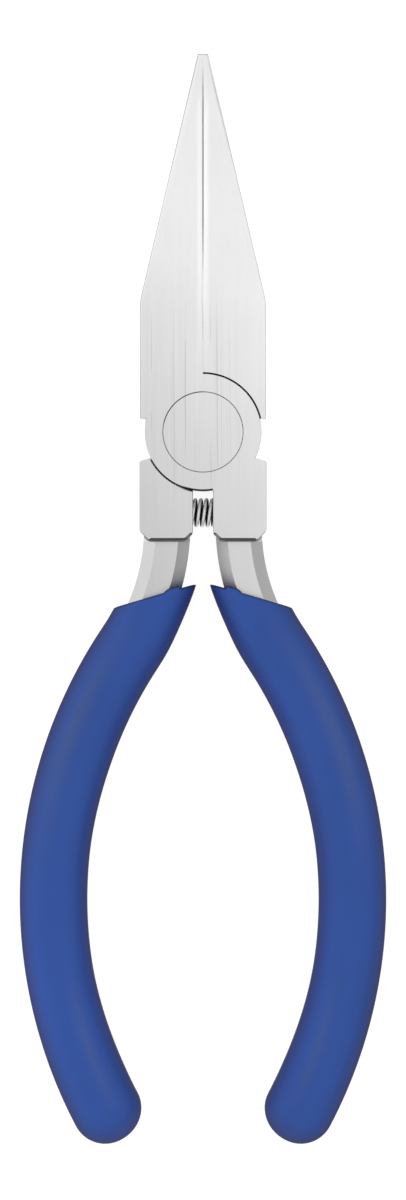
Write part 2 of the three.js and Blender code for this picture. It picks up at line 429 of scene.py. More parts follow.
def jaw_stations():
    """Places along the jaw: sparse at the root, dense where it starts to thin and to the tip."""
    stations = list(np.linspace(JAW_HEEL_Y, JAW_FLAT_END_Y - 2, 8))
    stations += list(np.linspace(JAW_FLAT_END_Y - 1.8, JAW_BEND_END_Y, 22))
    stations += list(np.linspace(JAW_BEND_END_Y + 0.5, JAW_TIP_Y - JAW_NOSE - 0.3, 50))
    nose = [math.sin(k * math.pi / 12) for k in range(6)]
    return stations + [JAW_TIP_Y - JAW_NOSE + JAW_NOSE * rise for rise in nose]


def jaw():
    """The jaw on the -X side of the seam, boxy at the root and round at the tip."""
    rings = []
    for y in jaw_stations():
        past = max(0.0, y - (JAW_TIP_Y - JAW_NOSE)) / JAW_NOSE
        shrink = JAW_NOSE * (1 - math.sqrt(max(0.0, 1 - past * past)))
        gap = seam_gap(y)
        half_u = (jaw_width(y) - gap) / 2 - shrink * 0.8
        half_v = jaw_thickness(y) / 2 - shrink
        roundness = smoothstep(y, *JAW_ROUNDS)
        bevel = smoothstep(y, *BEVEL_GROWS)
        outer_u = min(lerp(*OUTER_EDGE_ACROSS, roundness), LARGEST_OUTER_EDGE[0] * half_u)
        outer_v = min(lerp(*OUTER_EDGE_DOWN, roundness), LARGEST_OUTER_EDGE[1] * half_v)
        inner_u = min(lerp(*INNER_BEVEL_ACROSS, bevel), LARGEST_BEVEL * half_u)
        inner_v = inner_u * lerp(*INNER_BEVEL_SLOPE, bevel)
        outer, inner = (outer_u, outer_v), (inner_u, inner_v)
        corners, flats = (outer, inner, inner, outer), (0, BEVEL_FLATNESS, BEVEL_FLATNESS, 0)
        section = rounded_rect(half_u, half_v, corners, JAW_CORNER_STEPS, flats=flats)
        # the mating side swells at mid thickness to meet the other jaw
        touch = (-half_u - gap + SEAM_HALF_CONTACT, 0.0)
        section = np.insert(section, len(section) // 2, touch, axis=0)
        centre = np.array([-(gap + (jaw_width(y) - gap) / 2), y])
        heading = np.array([0.0, 1.0])
        rings.append([place(centre, heading, u, v) for u, v in section])
    return loft("jaw", rings)


def shoulder_outline(grow=0.0):
    top = SHOULDER_TOP_Y + 0.3
    corners = [
        (SHOULDER_IN, SHOULDER_BOTTOM_Y + SHOULDER_CHAMFER, 0.7),
        (SHOULDER_IN + SHOULDER_CHAMFER, SHOULDER_BOTTOM_Y, 0.7),
        (SHOULDER_OUT - SHOULDER_OUTER_CUT, SHOULDER_BOTTOM_Y, 0.5),
        (SHOULDER_OUT, SHOULDER_BOTTOM_Y + SHOULDER_OUTER_CUT, 0.5),
        (SHOULDER_OUT, SHOULDER_TOP_Y, 0.36),
        (SHOULDER_OUT - 1.1, top, 0.3),
        (SHOULDER_IN, top, 0.3),
    ]
    outline = round_corners(corners, SHOULDER_CORNER_STEPS)
    return inset(outline, -grow) if grow else outline


def shoulder_block():
    """The square shoulder: its rims are rounded, and its end has a flat chamfer."""
    outline = shoulder_outline()
    end_x = (SHOULDER_OUT - 1.4, SHOULDER_OUT - 1.0)  # the chamfer runs out at the outer cut
    end_y = (SHOULDER_BOTTOM_Y + 0.65, SHOULDER_BOTTOM_Y + 0.95)
    at_end = np.array([
        (1 - smoothstep(x, *end_x)) * (1 - smoothstep(y, *end_y)) for x, y in outline
    ])
    steps = 3
    rings = []
    for k in range(steps + 1):
        turn = k * math.pi / (2 * steps)
        flat = k / steps
        drop = lerp(SHOULDER_EDGE * (1 - math.sin(turn)), END_CHAMFER * (1 - flat), at_end)
        rise = lerp(SHOULDER_EDGE * (1 - math.cos(turn)), END_CHAMFER * flat, at_end)
        rings.append((inset(outline, drop[:, None]), rise))
    low = [np.column_stack([ring, rise]) for ring, rise in rings]
    high = [np.column_stack([ring, THICKNESS - rise]) for ring, rise in reversed(rings)]
    return loft("block", low + high)


def octagon(half_u, half_v, bevel, edge):
    quarter = [(half_u, half_v - bevel), (half_u - bevel, half_v)]
    top = quarter + [(-u, v) for u, v in reversed(quarter)]
    corners = top + [(-u, -v) for u, v in top]
    return round_corners([(u, v, edge) for u, v in corners], 2)


def tang():
    """The octagonal bar from inside the shoulder down into the sleeve."""
    length = handle_length(TANG_ROOT[2], TANG_END_LEAN)
    rings = []
    for t in np.linspace(0, 1, TANG_RINGS):
        centre, heading = handle_point(t * length, TANG_ROOT[2])
        half_u = lerp(*TANG_HALF_WIDTH, t)
        half_v = lerp(*TANG_HALF_THICKNESS, t)
        section = octagon(half_u, half_v, TANG_BEVEL, TANG_EDGE)
        rings.append([place(centre, heading, u, v) for u, v in section])
    bar = loft("tang", rings)
    relief = shoulder_outline(UNDERCUT)
    floor = TANG_HALF_THICKNESS[0] - UNDERCUT_DEPTH
    for low, high in ((MID_Z + floor, THICKNESS + PAST), (-PAST, MID_Z - floor)):
        combine(bar, prism("relief", relief, low, high), "DIFFERENCE")
    return bar


def spring_seat():
    """Cutter for the blind hole behind the shoulder's inner face, with a small lead-in."""
    radius = SPRING_OUTER + SEAT_GAP
    floor_x = SHOULDER_IN + SEAT_DEPTH
    profile = [
        (0, -PAST),
        (radius + SEAT_LEAD_IN, -PAST),
        (radius + SEAT_LEAD_IN, SHOULDER_IN),
        (radius, SHOULDER_IN + SEAT_LEAD_IN),
        (radius, floor_x),
        (0, floor_x),
    ]
    seat = turned("seat", profile, SEAT_SIDES)
    along_x = Matrix.Rotation(math.pi / 2, 4, "Y")
    seat.data.transform(Matrix.Translation((0, SPRING_Y, MID_Z)) @ along_x)
    return seat


def neighbour_cut():
    """Room for the other forging's disc, up to just past mid thickness."""
    lap = MID_Z + LAP_LIFT
    wide = LAP_OUTER + LAP_LIP + PAST
    profile = [(0, -PAST), (wide, -PAST), (LAP_OUTER, LAP_LIP), (LAP_OUTER, lap), (0, lap)]
    return turned("neighbour", profile, DISC_SIDES)


def lap_disc():
    """The forging's own disc, with its full radius over the slot, where no neighbour is."""
    lap = MID_Z + LAP_LIFT
    profile = [
        (0, lap),
        (LAP_INNER, lap),
        (LAP_INNER, THICKNESS - DISC_LIP),
        (LAP_INNER - DISC_LIP, THICKNESS),
        (0, THICKNESS),
    ]
    disc = turned("disc", profile, DISC_SIDES)
    for vertex in disc.data.vertices:
        x, y, z = vertex.co
        radius = math.hypot(x, y)
        if y < 0 and radius > LAP_INNER / 2:
            growth = (DISC_RADIUS - LAP_INNER) * bump_over(x, *SLOT_ARC)
            stretch = 1 + growth / radius
            vertex.co = (x * stretch, y * stretch, z)
    return disc


def counterbore():
    """Room for the rivet's flush head, with a hairline groove round it."""
    radius = RIVET_RADIUS + HEAD_GROOVE
    floor = THICKNESS - RIVET_HEAD_HEIGHT - HEAD_FLOOR_GAP
    profile = [
        (0, floor),
        (radius, floor),
        (radius, THICKNESS - HEAD_LIP),
        (radius + HEAD_LIP + PAST, THICKNESS + PAST),
        (0, THICKNESS + PAST),
    ]
    return turned("counterbore", profile, DISC_SIDES)


def shank_bore():
    radius = RIVET_SHANK_RADIUS + BORE_GAP
    profile = [(0, -PAST), (radius, -PAST), (radius, THICKNESS), (0, THICKNESS)]
    return turned("bore", profile, BORE_SIDES)


def forging():
    body = jaw()
    combine(body, shoulder_block(), "UNION")
    combine(body, neighbour_cut(), "DIFFERENCE")
    combine(body, lap_disc(), "UNION")
    combine(body, tang(), "UNION")
    combine(body, spring_seat(), "DIFFERENCE")
    combine(body, counterbore(), "DIFFERENCE")
    combine(body, shank_bore(), "DIFFERENCE")
    return body


# ---------------------------------------------------------------- rivet
def rivet():
    half = [
        (0, 0),
        (RIVET_RADIUS - HEAD_LIP, 0),
        (RIVET_RADIUS, HEAD_LIP),
        (RIVET_RADIUS, RIVET_HEAD_HEIGHT),
        (RIVET_SHANK_RADIUS, RIVET_HEAD_HEIGHT),
    ]
    other_half = [(radius, THICKNESS - height) for radius, height in reversed(half)]
    return turned("rivet", half + other_half, DISC_SIDES)


# ---------------------------------------------------------------- spring
def coil_path():
    """A left-handed helix along X, with its end turns closed against the seats."""
    radius = SPRING_OUTER - WIRE_RADIUS
    half = SPRING_END_X - WIRE_RADIUS
    open_pitch = (2 * half - 2 * CLOSED_PITCH) / (COIL_TURNS - 2)
    count = int(COIL_TURNS * WIRE_RINGS_PER_TURN)
    path = []
    x = -half
    for k in range(count + 1):
        turn = 2 * math.pi * (k / WIRE_RINGS_PER_TURN + COIL_PHASE)
        end = min(k, count - k) / WIRE_RINGS_PER_TURN
        lean = COIL_LEAN * smoothstep(end, *COIL_LEAN_GROWS) * math.cos(turn)
        y = SPRING_Y + radius * math.cos(turn)
        z = MID_Z - radius * math.sin(turn)
        path.append((x + lean, y, z))
        x += (CLOSED_PITCH if end < 1 else open_pitch) / WIRE_RINGS_PER_TURN
    return np.array(path)


def spring():
    path = coil_path()
    angles = np.linspace(0, 2 * math.pi, WIRE_SIDES, endpoint=False)[:, None]
    rings = []
    for centre, heading in zip(path, np.gradient(path, axis=0)):
        outward = centre - (centre[0], SPRING_Y, MID_Z)
        side = np.cross(heading, outward)
        outward = np.cross(side, heading)
        side /= np.linalg.norm(side)
        outward /= np.linalg.norm(outward)
        rings.append(centre + WIRE_RADIUS * (np.cos(angles) * outward + np.sin(angles) * side))
    return loft("coil", rings)


# ---------------------------------------------------------------- sleeve
# the palm's side is fuller by these shares of the half width, each growing between two
# distances along the sleeve
PALM_FILL = ((0.065, 5, 13), (-0.04, 24, 38), (0.07, 50, 66))
SLEEVE_LENGTH = handle_length(SLEEVE_START_LEAN, BOW_END_LEAN)
TANG_LENGTH = handle_length(TANG_ROOT[2], TANG_END_LEAN)
SLEEVE_LEAD = TANG_BEND_RADIUS * math.radians(SLEEVE_START_LEAN - TANG_ROOT[2])
CAVITY_END = TANG_LENGTH - SLEEVE_LEAD + 0.3  # just past the tang's end
DOME_END = math.radians(89)


def above_mouth(point):
    """Signed distance from the slanted mouth, positive on the joint's side."""
    run = MOUTH_OUTER - MOUTH_INNER
    normal = np.array([-run[1], run[0]]) / np.linalg.norm(run)
    return float((np.array(point[:2]) - MOUTH_INNER) @ normal)


def sleeve_skin(distance):
    """The outer section, at a distance along the sleeve."""
    flare = SLEEVE_FLARE * (1 - smoothstep(distance, 0, SLEEVE_FLARE_LENGTH))
    half_width = SLEEVE_HALF_WIDTH + flare
    corners = [SLEEVE_CORNER] * 4
    section = rounded_rect(half_width, MID_Z, corners, SLEEVE_CORNER_STEPS, SLEEVE_SIDE_POINTS)
    fill = sum(share * smoothstep(distance, start, end) for share, start, end in PALM_FILL)
    section[:, 0] *= np.where(section[:, 0] < 0, 1 + fill, 1)
    return section


SECTION_ANGLES = np.arctan2(*sleeve_skin(0)[:, ::-1].T)


def sleeve_cavity(distance):
    """The tang's octagon with a little room round it, point for point beside the skin."""
    t = (distance + SLEEVE_LEAD) / TANG_LENGTH
    a = lerp(*TANG_HALF_WIDTH, t) + SLEEVE_FIT
    b = lerp(*TANG_HALF_THICKNESS, t) + SLEEVE_FIT
    across, up = np.cos(SECTION_ANGLES), np.sin(SECTION_ANGLES)
    flat, steep = np.abs(across), np.abs(up)
    reach = np.minimum(a / np.maximum(flat, 1e-6), b / np.maximum(steep, 1e-6))
    reach = np.minimum(reach, (a + b - TANG_BEVEL) / (flat + steep))
    return np.stack([across * reach, up * reach], axis=1)


def sleeve_point(section, index, distance):
    centre, heading = handle_point(distance, SLEEVE_START_LEAN)
    return np.array(place(centre, heading, *section(distance)[index]))


def mouth_distance(section, index):
    """Where along the sleeve one line of a section meets the mouth, found by halving."""
    low, high = -3.0, 14.0
    for _ in range(40):
        middle = (low + high) / 2
        if above_mouth(sleeve_point(section, index, middle)) > 0:
            low = middle
        else:
            high = middle
    step = bump_over(abs(math.degrees(SECTION_ANGLES[index])), *MOUTH_STEP_TURN)
    return low - MOUTH_STEP * step


def sleeve():
    """Hollow sleeve, from the cavity's floor up its wall, over the lip and down the skin.

    Every point keeps its distance from the mouth and its place across the section, in mm.
    """
    indices = range(len(SECTION_ANGLES))
    outer_start = [mouth_distance(sleeve_skin, i) for i in indices]
    inner_start = [mouth_distance(sleeve_cavity, i) for i in indices]
    zeros = [0.0] * len(indices)
    rings, from_mouth, across = [], [], []

    def add_ring(points, distances, places):
        rings.append(points)
        from_mouth.extend(distances)
        across.extend(places)

    for t in np.linspace(1, 0, CAVITY_RINGS):
        reached = [lerp(inner_start[i] + LIP_HEIGHT, CAVITY_END, t) for i in indices]
        add_ring([sleeve_point(sleeve_cavity, i, reached[i]) for i in indices], zeros, zeros)
    for k in range(1, LIP_STEPS):
        turn = math.pi * k / LIP_STEPS
        mix = (1 - math.cos(turn)) / 2
        drop = LIP_HEIGHT * (1 - math.sin(turn))
        inner = [sleeve_point(sleeve_cavity, i, inner_start[i] + drop) for i in indices]
        outer = [sleeve_point(sleeve_skin, i, outer_start[i] + drop) for i in indices]
        distance = drop if mix > 0.5 else 0.0
        add_ring(
            [lerp(inner[i], outer[i], mix) for i in indices], [distance] * len(indices), zeros
        )
    for t in np.linspace(0, 1, SKIN_RINGS):
        reached = [lerp(outer_start[i] + LIP_HEIGHT, SLEEVE_LENGTH, t) for i in indices]
        add_ring(
            [sleeve_point(sleeve_skin, i, reached[i]) for i in indices],
            [reached[i] - outer_start[i] for i in indices],
            [sleeve_skin(reached[i])[i][0] for i in indices],
        )
    centre, heading = handle_point(SLEEVE_LENGTH, SLEEVE_START_LEAN)
    for k in range(1, DOME_RINGS + 1):
        turn = DOME_END * k / DOME_RINGS
        rise = SLEEVE_HALF_WIDTH * math.sin(turn)
        section = sleeve_skin(SLEEVE_LENGTH) * math.cos(turn)
        add_ring(
            [place(centre + heading * rise, heading, u, v) for u, v in section],
            [SLEEVE_LENGTH + rise] * len(indices),
            section[:, 0],
        )
    obj = loft("sleeve", rings)
    tag_points(obj, "from_mouth", from_mouth)
    tag_points(obj, "across", across)
    return obj


# ---------------------------------------------------------------- materials
class Nodes:
    """Short ways to add nodes to a tree. Each returns the new node's output."""

    def __init__(self, tree):
        self.nodes = tree.nodes
        self.links = tree.links

    def put(self, socket, value):
        """Links a socket's output, or sets a plain value."""
        if isinstance(value, bpy.types.NodeSocket):
            self.links.new(value, socket)
        else:
            socket.default_value = value

    def split(self, vector):
        node = self.nodes.new("ShaderNodeSeparateXYZ")
        self.put(node.inputs[0], vector)
        return tuple(node.outputs)

    def scale(self, vector, factor):
        """A vector, or a colour, made longer or brighter by a factor."""
        node = self.nodes.new("ShaderNodeVectorMath")
        node.operation = "SCALE"
        self.put(node.inputs[0], vector)
        self.put(node.inputs["Scale"], factor)
        return node.outputs[0]

    def math(self, operation, *values):
        node = self.nodes.new("ShaderNodeMath")
        node.operation = operation
        for socket, value in zip(node.inputs, values):
            self.put(socket, value)
        return node.outputs[0]

    def add(self, *values):
        total = values[0]
        for value in values[1:]:
            total = self.math("ADD", total, value)
        return total

    def times(self, *values):
        total = values[0]
        for value in values[1:]:
            total = self.math("MULTIPLY", total, value)
        return total

    def absolute(self, value):
        return self.math("ABSOLUTE", value)

    def rest_of(self, share):
        return self.math("SUBTRACT", 1.0, share)

    def varied(self, noise, contrast):
        """Noise round 0, of the given contrast."""
        return self.times(self.math("SUBTRACT", noise, 0.5), contrast)

    def ramp(self, value, low, high, start, end, shape="SMOOTHSTEP"):
        """From start to end as value goes from low to high."""
        node = self.nodes.new("ShaderNodeMapRange")
        node.interpolation_type = shape
        self.put(node.inputs["Value"], value)
        limits = {"From Min": low, "From Max": high, "To Min": start, "To Max": end}
        for name, number in limits.items():
            node.inputs[name].default_value = number
        return node.outputs["Result"]

    def rise(self, value, low, high):
        return self.ramp(value, low, high, 0.0, 1.0)

    def fall(self, value, low, high):
        return self.ramp(value, low, high, 1.0, 0.0)

    def bell(self, value, centre, width):
        """1 at the centre, falling smoothly to 0 at width from it."""
        return self.fall(self.absolute(self.math("SUBTRACT", value, centre)), 0, width)

    def line_noise(self, value):
        """One-dimensional noise round 0.5."""
        node = self.nodes.new("ShaderNodeTexNoise")
        node.noise_dimensions = "1D"
        node.inputs["Scale"].default_value = 1.0
        node.inputs["Detail"].default_value = 0.0
        self.put(node.inputs["W"], value)
        return node.outputs["Fac"]

    def mix(self, share, first, second):
        """From the first colour to the second."""
        node = self.nodes.new("ShaderNodeMix")
        node.data_type = "RGBA"
        # a Mix node has its sockets for every data type: these are the colour's
        for index, value in ((0, share), (6, first), (7, second)):
            self.put(node.inputs[index], value)
        return node.outputs[2]


class Finish(Nodes):
    """A material on the object's own coordinates, in millimetres."""

    def __init__(self, name):
        self.material = bpy.data.materials.new(name)
        self.material.use_nodes = True
        super().__init__(self.material.node_tree)
        self.nodes.clear()
        output = self.nodes.new("ShaderNodeOutputMaterial")
        self.surface = self.nodes.new("ShaderNodeBsdfPrincipled")
        self.put(output.inputs[0], self.surface.outputs[0])
        where = self.nodes.new("ShaderNodeTexCoord")
        self.place = self.scale(where.outputs["Object"], 1 / MM)
        self.x, self.y, self.z = self.split(self.place)
        self.normal = self.split(where.outputs["Normal"])
        self.flatness = self.absolute(self.normal[2])
        self.height = self.math("SUBTRACT", self.z, MID_Z)

    def noise(self, per_mm, seed, detail=2.0):
        """Values round 0.5, with per_mm features for each millimetre along x, y and z."""
        mapping = self.nodes.new("ShaderNodeMapping")
        mapping.inputs["Location"].default_value = (seed, seed, seed)
        mapping.inputs["Scale"].default_value = per_mm
        self.put(mapping.inputs["Vector"], self.place)
        node = self.nodes.new("ShaderNodeTexNoise")
        node.inputs["Scale"].default_value = 1.0
        node.inputs["Detail"].default_value = detail
        self.put(node.inputs["Vector"], mapping.outputs[0])
        return node.outputs["Fac"]

    def tag(self, name):
        """A number that tag_points stored on the mesh."""
        node = self.nodes.new("ShaderNodeAttribute")
        node.attribute_name = name
        return node.outputs["Fac"]

    def bump(self, height, depth_mm):
        node = self.nodes.new("ShaderNodeBump")
        node.inputs["Distance"].default_value = depth_mm * MM
        self.put(node.inputs["Height"], height)
        self.put(self.surface.inputs["Normal"], node.outputs[0])

    def finish(self, **sockets):
        for name, value in sockets.items():
            self.put(self.surface.inputs[name.replace("_", " ")], value)
        return self.material


# ---------------------------------------------------------------- ground steel
# Tones are shares of full brightness and places are millimetres. A slope is how far a surface
# faces up or down, from 0 for a wall to 1 for a flat face. A ramp is (from, to), and where its
# ends aren't 0 and 1, its values there come after.
STEEL_TINT = (1.0, 0.999, 0.996)
# painted shade: a grey for the shoulders' ends and a black for the gap between the laps
END_SHADE_GREY = (0.15, 0.15, 0.155, 1)
GAP_SHADE_BLACK = (0.03, 0.03, 0.032, 1)
STEEL_TONE = 0.865
STEEL_ROUGHNESS = 0.30
STEEL_BUMP_MM = 0.0008

SCRATCH_TONE = 0.18
SCRATCHES_PER_MM = (4.2, 2.2)  # along x and z
SCRATCH_DRIFT = 5.0
SCRATCH_NOISE = (0.635, 0.70)  # a scratch is where its noise is above this
SCRATCH_BREAKS = (0.47, 0.54)  # and where this second noise is as well
SCRATCHED_Y = 3.5
SCRATCHED_REACH = (5.0, 13.0)
SCRATCHED_X = (0.5, 4.5, 1.0, 0.2)  # fewer on the right
SCRATCHED_ELSEWHERE = 0.06

STREAK_TONE = 0.12
STREAKS_ELSEWHERE = 0.35
GRAIN_TONE = 0.05
CLOUD_TONE = 0.08
# darker from the jaws down to the shoulders: partly a finer finish on the jaws, partly painted
# light from the tips' end
SHOULDER_TO_JAW = (-15.0, 20.0, 0.745, 1.0)
TOWARDS_TIP = (36.0, 42.0, 1.0, 0.955)
# painted shade along the very end of the tip
TIP_END_SHADE = (JAW_TIP_Y - 0.14, JAW_TIP_Y - 0.06, 1.0, 0.5)
# painted light from the right
RIGHT_LIGHT_PER_MM = (14.0, 22.0, 0.012, 0.0)  # the right side is brighter, up to the jaws' middle
# painted highlight beside the jaws' meeting line, where the bevels catch the light
SEAM_BAND_X = (0.45, 0.85)
SEAM_BAND_START = (5.0, 17.0)
SEAM_BAND_END = (35.0, 41.0)
SEAM_HIGHLIGHT_TONE = 0.105

# painted shade on the shoulders' ends that face the handles
END_SHADE_FACING = (-0.62, -0.35)  # the normal's y
END_SHADE_START = (SHOULDER_BOTTOM_Y - 0.5, SHOULDER_BOTTOM_Y - 0.4)
END_SHADE_END = (SHOULDER_BOTTOM_Y + 0.9, SHOULDER_BOTTOM_Y + 1.2)
# painted shade: black in the gap between a disc and its neighbour, and on a disc's rim over the
# slot
GAP_RADIUS = ((LAP_INNER + LAP_OUTER) / 2, 0.2)  # centre and reach
GAP_SHARPNESS = (0.1, 0.3)
GAP_DEPTH = (MID_Z - 1.8, MID_Z - 0.8)
GAP_SLOPE = (0.74, 0.88)
GAP_QUADRANTS = (-0.5, 0.5)  # x times y: the laps meet in two opposite quarters
GAP_ABOVE_Y, GAP_BELOW_Y = (1.4, 1.6), (-3.3, -3.1)  # and a neighbour stands only past these
RIM_RADIUS = ((6.53, 6.57), (6.9, 7.0))
RIM_X = ((-3.4, -1.2), (1.08, 1.16))  # on the near face; the far one is turned over
RIM_Y = (-6.3, -6.0)
RIM_DEPTH = (MID_Z - 0.5, MID_Z - 0.3)

LEFT_SIDE = (-0.5, 0.5)
# painted shade on the jaws' flanks, by slope
LEFT_FLANK = (0.50, 0.93, 0.85, 0.0)  # by slope
LEFT_WALL = (0.05, 0.30, 0.5, 1.0)
RIGHT_FLANK = (0.30, 0.86, 0.46, 0.0)
FLANKS_START = (0.5, 1.5)
FLANKS_TO_TIP = (29.0, 40.0, 1.0, 0.6)
# painted light and shade on the tangs' slanted sides: darker slants, lighter on the left and
# near the sleeves' mouths
TANG_START = (SHOULDER_BOTTOM_Y - 0.2, SHOULDER_BOTTOM_Y - 0.05)
SLANT_SLOPE = (0.80, 0.93)
SLANT_OUTWARD = (-0.2, 0.2)  # the normal's x, away from the middle
SLANT_TONE, SLANT_LEFT = -0.14, 0.32
OUTER_SLANT_TONE, OUTER_SLANT_LEFT = -0.14, -0.10
MOUTH_Y = (-17.6, -14.4)
MOUTH_SLANT_TONE, MOUTH_SLANT_LEFT = 0.28, 0.06
# painted light on the walls of the slot round the spring
SLOT_X = (1.5, 1.9)
SLOT_Y = (-6.6, -6.3)
SLOT_SLOPE = (0.3, 0.7)
SLOT_PAINTED_LIGHT = 0.3


def scratches(f, by_joint):
    """Hairline scratches: long, nearly straight, most of them round the joint."""
    drift = f.noise(per_mm=(0.25, 0.02, 0.25), seed=31.0, detail=0.0)
    along_x, along_z = SCRATCHES_PER_MM
    across = f.add(f.times(f.x, along_x), f.times(f.z, along_z), f.times(drift, SCRATCH_DRIFT))
    hair = f.rise(f.line_noise(across), *SCRATCH_NOISE)
    patches = f.noise(per_mm=(1.1, 0.085, 1.1), seed=41.0, detail=1.0)
    share = f.add(SCRATCHED_ELSEWHERE, f.times(by_joint, 1 - SCRATCHED_ELSEWHERE))
    return f.times(hair, f.rise(patches, *SCRATCH_BREAKS), share)


def polish_and_painted_light(f, by_joint, broad, fine, scratch):
    """Ground streaks, grain, clouds and scratch wear, with painted light: the jaws are brighter
    than the shoulders, partly from a finer finish and partly as painted light from the tips'
    end, the right side is painted lighter than the left, a painted highlight runs beside the
    seam, and painted shade darkens the tip's very end.
    """
    cloud = f.noise(per_mm=(0.16, 0.10, 0.16), seed=5.0)
    streaks = f.add(STREAKS_ELSEWHERE, f.times(by_joint, 1 - STREAKS_ELSEWHERE))
    tone = f.add(
        STEEL_TONE,
        f.times(f.varied(broad, STREAK_TONE), streaks),
        f.varied(fine, GRAIN_TONE),
        f.varied(cloud, CLOUD_TONE),
    )
    # painted highlight beside the seam
    seam_highlight = f.times(
        f.fall(f.absolute(f.x), *SEAM_BAND_X),
        f.rise(f.y, *SEAM_BAND_START),
        f.fall(f.y, *SEAM_BAND_END),
        SEAM_HIGHLIGHT_TONE,
    )
    # darker from the jaws to the shoulders, partly finish and partly painted light; painted
    # shade at the tip's very end
    along = f.times(
        f.ramp(f.y, *SHOULDER_TO_JAW, shape="LINEAR"),
        f.ramp(f.y, *TOWARDS_TIP),
        f.ramp(f.y, *TIP_END_SHADE),
    )
    # painted light from the right
    painted_right_light = f.times(f.x, f.ramp(f.y, *RIGHT_LIGHT_PER_MM))
    worn = f.rest_of(f.times(scratch, SCRATCH_TONE))
    return f.times(tone, f.add(1.0, seam_highlight), along, f.add(1.0, painted_right_light), worn)


def end_painted_shade(f):
    """Painted shade on the shoulders' ends, which look at the handles."""
    facing = f.fall(f.normal[1], *END_SHADE_FACING)
    return f.times(facing, f.rise(f.y, *END_SHADE_START), f.fall(f.y, *END_SHADE_END))


def lap_painted_shade(f):
    """Painted shade in the gap between a disc and its neighbour, and on a disc's rim in the
    slot.
    """
    radius = f.math("SQRT", f.add(f.times(f.x, f.x), f.times(f.y, f.y)))
    depth = f.absolute(f.height)
    from_slot = f.times(f.math("SIGN", f.height), f.x)
    gap = f.times(
        f.rise(f.bell(radius, *GAP_RADIUS), *GAP_SHARPNESS),
        f.rise(depth, *GAP_DEPTH),
        f.fall(f.flatness, *GAP_SLOPE),
        f.rise(f.times(from_slot, f.y), *GAP_QUADRANTS),
        f.add(f.rise(f.y, *GAP_ABOVE_Y), f.fall(f.y, *GAP_BELOW_Y)),
    )
    rim = f.times(
        f.rise(radius, *RIM_RADIUS[0]),
        f.fall(radius, *RIM_RADIUS[1]),
        f.rise(from_slot, *RIM_X[0]),
        f.fall(from_slot, *RIM_X[1]),
        f.fall(f.y, *RIM_Y),
        f.rise(depth, *RIM_DEPTH),
    )
    return f.math("MAXIMUM", gap, rim)


def jaw_flank_shade(f, left):
    """How much darker the jaws' flanks are painted than their faces: painted shade."""
    both = f.add(
        f.times(left, f.ramp(f.flatness, *LEFT_FLANK), f.ramp(f.flatness, *LEFT_WALL)),
        f.times(f.rest_of(left), f.ramp(f.flatness, *RIGHT_FLANK)),
    )
    return f.times(both, f.rise(f.y, *FLANKS_START), f.ramp(f.y, *FLANKS_TO_TIP))


def tang_slant_light_and_shade(f, left):
    """Painted light and shade on the tangs' slanted sides, outer and inner, left and right."""
    outward = f.rise(f.times(f.math("SIGN", f.x), f.normal[0]), *SLANT_OUTWARD)
    by_mouth = f.times(f.fall(f.y, *MOUTH_Y), f.rest_of(outward))
    return f.add(
        SLANT_TONE,
        f.times(left, SLANT_LEFT),
        f.times(outward, f.add(OUTER_SLANT_TONE, f.times(left, OUTER_SLANT_LEFT))),
        f.times(by_mouth, f.add(MOUTH_SLANT_TONE, f.times(left, MOUTH_SLANT_LEFT))),
    )


def ground_steel(name):
    """Steel ground along its length: soft streaks, hairline scratches and darker shoulders, with
    painted light and shade on its faces, flanks, slants and gaps.
    """
    f = Finish(name)
    broad = f.noise(per_mm=(1.9, 0.03, 1.9), seed=3.0)
    fine = f.noise(per_mm=(9.0, 0.15, 9.0), seed=11.0, detail=1.0)
    by_joint = f.times(
        f.fall(f.absolute(f.math("SUBTRACT", f.y, SCRATCHED_Y)), *SCRATCHED_REACH),
        f.ramp(f.x, *SCRATCHED_X),
    )
    scratch = scratches(f, by_joint)
    left = f.fall(f.x, *LEFT_SIDE)
    on_slant = f.times(f.fall(f.y, *TANG_START), f.fall(f.flatness, *SLANT_SLOPE))
    # painted light on the slot's walls
    in_slot = f.times(f.fall(f.absolute(f.x), *SLOT_X), f.fall(f.y, *SLOT_Y))
    in_slot = f.times(in_slot, f.fall(f.flatness, *SLOT_SLOPE))
    # painted light and shade over the ground finish: on the jaws' flanks, the tangs' slants and
    # the slot's walls
    tone = f.times(
        polish_and_painted_light(f, by_joint, broad, fine, scratch),
        f.rest_of(jaw_flank_shade(f, left)),
        f.add(1.0, f.times(on_slant, tang_slant_light_and_shade(f, left))),
        f.add(1.0, f.times(in_slot, SLOT_PAINTED_LIGHT)),
    )
    # skin: painted shade on the shoulders' ends
    skin = end_painted_shade(f)
    colour = f.mix(skin, f.scale(STEEL_TINT, tone), END_SHADE_GREY)
    # painted shade, black, in the laps' gap and on a disc's rim over the slot
    colour = f.mix(lap_painted_shade(f), colour, GAP_SHADE_BLACK)
    roughness = f.add(
        STEEL_ROUGHNESS, f.times(fine, 0.08), f.times(on_slant, 0.08), f.times(skin, 0.2)
    )
    relief = f.add(f.times(fine, 0.5), f.times(broad, 0.5), f.times(scratch, -0.8))
    f.bump(relief, STEEL_BUMP_MM)
    return f.finish(Base_Color=colour, Metallic=1.0, Roughness=roughness)


# ---------------------------------------------------------------- spring wire
WIRE_TINT = (1.0, 0.997, 0.99)
# painted shade inside the coil and between its turns
WIRE_SHADE_BLACK = (0.012, 0.012, 0.013, 1)
WIRE_METALLIC = 0.35  # the film on the wire scatters most of the light
WIRE_BUMP_MM = 0.0006
WIRE_INSIDE = (-1.3, -0.5)  # facing away from the coil's axis, in mm from it
WIRE_BETWEEN = (0.64, 0.86)  # the normal's x
WIRE_AT_EDGES = (1.45, 1.7, 1.0, 0.25)  # mm beside the axis


